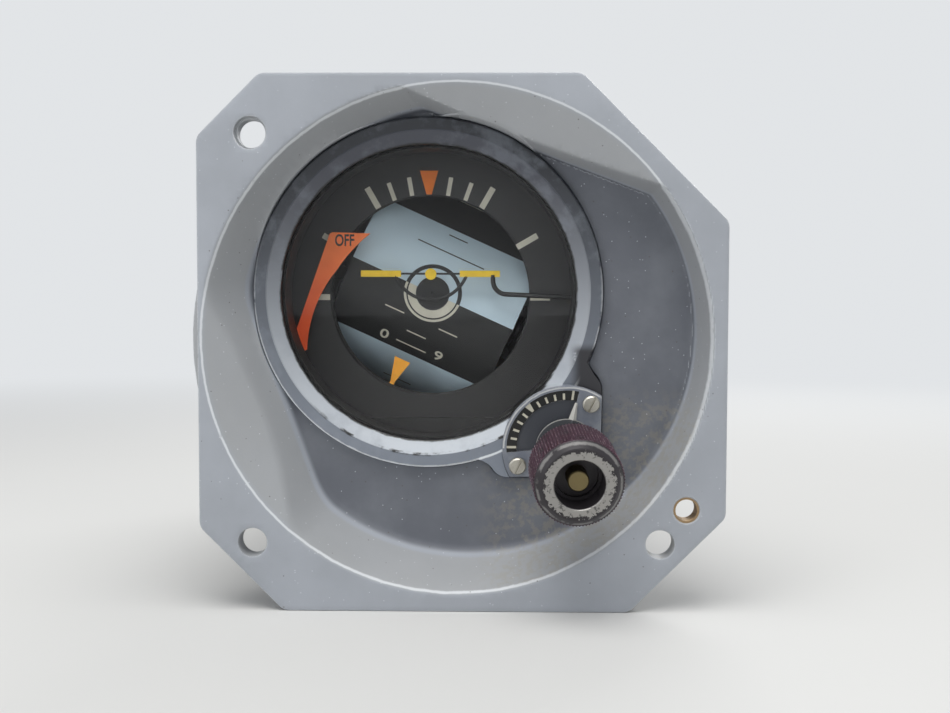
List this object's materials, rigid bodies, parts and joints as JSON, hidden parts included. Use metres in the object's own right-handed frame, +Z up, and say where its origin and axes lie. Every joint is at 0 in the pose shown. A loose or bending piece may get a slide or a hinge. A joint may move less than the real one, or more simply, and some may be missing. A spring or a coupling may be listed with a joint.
{
  "type": "attitude indicator",
  "caption": "Round gyro horizon with a roll-and-pitch drum behind a window, a pull-to-cage trim knob at its lower right corner, held off-centre in a square panel adapter.",
  "frame": {"origin": "centre of the square of mounting holes and of the round spigot, in the plane of the adapter's front face", "axes": "+Z up on the panel, -Y out of the dial towards the pilot, +Y back along the case to the connector, +X to the pilot's right"},
  "size_m": [0.1231, 0.2063, 0.124],
  "materials": {
    "adapter_paint": "worn light blue-grey enamel",
    "bezel_enamel": "satin grey enamel, worn bright at the edges",
    "black_paint": "matt black paint",
    "case_enamel": "semi-gloss black enamel",
    "trim_enamel": "satin grey-blue enamel",
    "knob_anodise": "black anodised, worn on the knurl",
    "bare_aluminium": "machined",
    "steel": "ground",
    "plated_screw": "cadmium plated, slightly dull",
    "spring_steel": "oiled",
    "brass": "turned",
    "phosphor_bronze": "thread insert wire",
    "window_glass": "clear, flat, polished",
    "seal_rubber": "matt",
    "cream_print": "matt screen print",
    "orange_paint": "matt",
    "amber_paint": "matt",
    "flag_orange": "matt fluorescent orange",
    "yellow_paint": "matt",
    "pointer_white": "matt",
    "drum_blue_black": "printed in pale blue, black and cream, matt",
    "connector_alloy": "olive passivated",
    "moulded_insulator": "moulded",
    "board_laminate": "varnished laminate",
    "winding": "varnished copper winding",
    "tungsten": "heavy alloy, turned"
  },
  "bodies": {
    "root": {"mounting_adapter": "adapter_paint", "threaded_insert": "phosphor_bronze", "front_bezel": "bezel_enamel", "window_glass": "window_glass", "glass_seal": "seal_rubber", "glass_retaining_sleeve": "black_paint", "case_shell": "case_enamel", "gear_housing": "case_enamel", "adapter_screws": "plated_screw", "rear_cover": "case_enamel", "rear_cover_screws": "plated_screw", "connector_shell": "connector_alloy", "connector_screws": "plated_screw", "connector_insert": "moulded_insulator", "connector_pins": "brass", "trim_scale_plate": "trim_enamel", "trim_scale_marks": "cream_print", "trim_scale_screws": "plated_screw", "trim_bush": "brass", "dial_mask": "black_paint", "roll_scale_marks": "cream_print", "roll_index": "orange_paint", "lower_shelf": "black_paint", "plane_guide": "steel", "flag_pivot_pin": "steel", "flag_solenoid": "winding", "bearing_bulkhead": "bare_aluminium", "roll_bearings": "steel", "brush_block": "moulded_insulator", "roll_motor_stator": "winding", "stator_posts": "brass", "power_board": "board_laminate", "board_components": "moulded_insulator", "board_standoffs": "brass"},
    "trim_sleeve": {"trim_pointer": "pointer_white", "trim_sleeve": "brass"},
    "knob": {"trim_knob": "knob_anodise", "knob_shaft": "steel", "knob_grub_screw": "plated_screw", "cage_spring": "spring_steel"},
    "aeroplane": {"plane_slide": "brass", "plane_bars": "yellow_paint", "plane_wire": "black_paint"},
    "off_flag": {"off_flag": "flag_orange"},
    "roll_gimbal": {"roll_yoke": "black_paint", "roll_pointer": "amber_paint", "pitch_bearings": "steel", "roll_shaft": "steel", "slip_ring_drum": "brass", "roll_motor_rotor": "steel", "roll_balance_weights": "tungsten"},
    "pitch_drum": {"display_drum": "drum_blue_black", "drum_end_cap_right": "bare_aluminium", "drum_end_cap_left": "bare_aluminium", "pole_cap_front": "black_paint", "pole_cap_rear": "black_paint", "rotor_bearings": "steel", "rotor_stator": "winding"},
    "gyro_rotor": {"gyro_rotor": "tungsten", "rotor_shaft": "steel"}
  },
  "joints": [
    {"name": "roll", "type": "hinge", "parent": "root", "child": "roll_gimbal", "pos_m": [-0.007, 0.061, 0.0107], "axis": [0, 1, 0], "continuous": true},
    {"name": "pitch", "type": "hinge", "parent": "roll_gimbal", "child": "pitch_drum", "pos_m": [-0.007, 0.061, 0.0107], "axis": [0.91, 0, -0.4147], "continuous": true},
    {"name": "rotor_spin", "type": "hinge", "parent": "pitch_drum", "child": "gyro_rotor", "pos_m": [-0.007, 0.061, 0.0107], "axis": [0, 1, 0], "continuous": true},
    {"name": "knob_turn", "type": "hinge", "parent": "root", "child": "trim_sleeve", "pos_m": [0.0258, 0.009, -0.0259], "axis": [0.066, -0.9795, -0.1901], "range_deg": [0, 105.8]},
    {"name": "knob_pull", "type": "slide", "parent": "trim_sleeve", "child": "knob", "axis": [0.066, -0.9795, -0.1901], "range_m": [0, 0.008], "stiffness_N_per_m": 400, "springref_m": -0.004},
    {"name": "plane_lift", "type": "slide", "parent": "root", "child": "aeroplane", "axis": [0, 0, 1], "range_m": [-0.0105, 0]},
    {"name": "flag_swing", "type": "hinge", "parent": "root", "child": "off_flag", "pos_m": [-0.0416, 0.0265, -0.0039], "axis": [0, -1, 0], "range_deg": [0, 23.5], "stiffness_Nm_per_rad": 0.002, "springref_deg": -22.92}
  ],
  "couplings": [
    {"joint": "plane_lift", "follows": "knob_turn", "m_per_rad": -0.005632}
  ]
}
